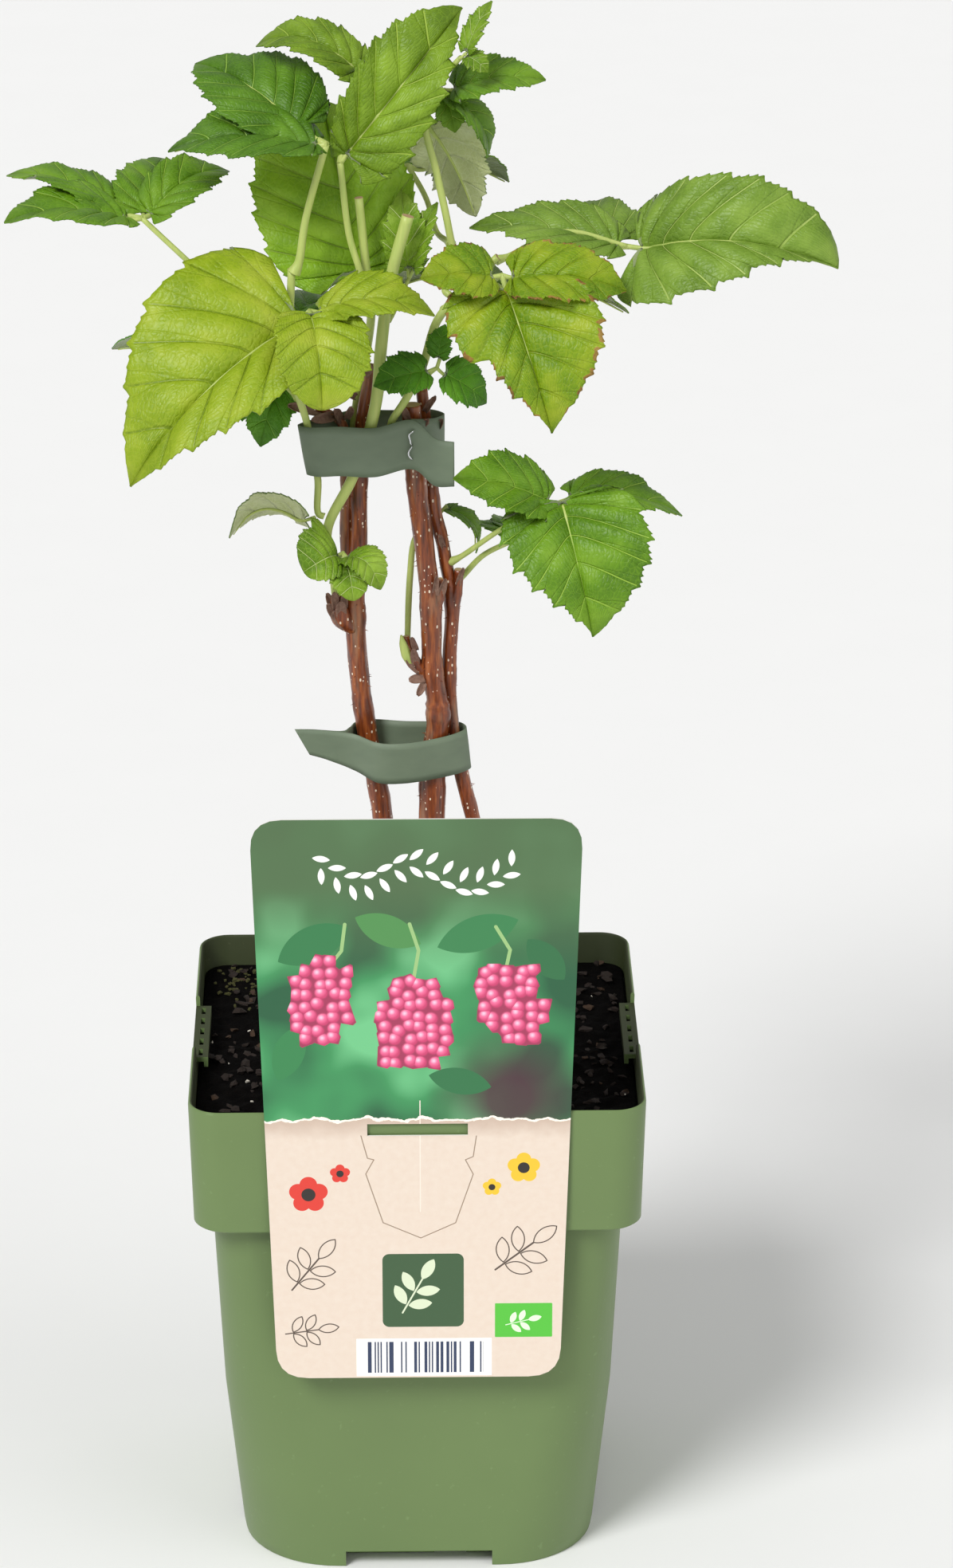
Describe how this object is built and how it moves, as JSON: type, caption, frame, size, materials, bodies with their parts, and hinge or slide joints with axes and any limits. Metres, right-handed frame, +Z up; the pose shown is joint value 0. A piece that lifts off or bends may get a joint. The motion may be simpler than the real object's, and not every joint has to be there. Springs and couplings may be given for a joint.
{
  "type": "potted raspberry cane",
  "caption": "Young raspberry in a square green nursery pot, with tied brown canes, fresh compound leaves and a card label hooked over the rim.",
  "frame": {"origin": "centre of the pot's underside, on the level surface that the pot stands on", "axes": "+Z up along the canes, -Y towards the side of the pot that carries the label, +X to the right when the label is seen from the front"},
  "size_m": [0.2316, 0.1384, 0.4554],
  "materials": {
    "pot_plastic": "satin, moulded",
    "compost": "rough, damp",
    "label_card": "smooth, lightly glossy",
    "tie_tape": "matte, soft",
    "staple_wire": "bright",
    "bark": "rough, with small prickles",
    "green_stem": "smooth, slightly waxy",
    "leaf_deep": "matte, deeply veined",
    "leaf_fresh": "matte, deeply veined",
    "leaf_lime": "matte, deeply veined",
    "leaf_grey": "matte, felted underside"
  },
  "bodies": {
    "root": {"pot": "pot_plastic", "soil": "compost", "label_card": "label_card", "cane_left": "bark", "cane_middle": "bark", "cane_right": "bark", "tie_upper": "tie_tape", "tie_lower": "tie_tape", "staple": "staple_wire", "shoot_main": "green_stem", "shoot_side": "green_stem", "stem_slim": "green_stem", "shoot_right": "green_stem", "shoot_top": "green_stem", "shoot_inner": "green_stem", "leaf_crown_left": "leaf_deep", "leaf_crown_back": "leaf_deep", "leaf_centre_dark": "leaf_deep", "leaf_behind_left": "leaf_deep", "leaf_back_left": "leaf_deep", "leaf_crown_tall": "leaf_lime", "leaf_broad_left": "leaf_lime", "leaf_mid_right": "leaf_lime", "leaf_back_right": "leaf_lime", "leaf_far_left": "leaf_fresh", "leaf_far_right": "leaf_fresh", "leaf_low_right": "leaf_fresh", "leaf_young_left": "leaf_fresh", "leaf_small_upright": "leaf_fresh", "leaf_top_young": "leaf_fresh", "leaf_top_right": "leaf_fresh", "leaf_curved": "leaf_fresh", "leaf_back_top": "leaf_fresh", "leaf_back_low": "leaf_fresh", "leaf_pale_left": "leaf_grey", "leaf_hanging": "leaf_grey"}
  },
  "joints": []
}
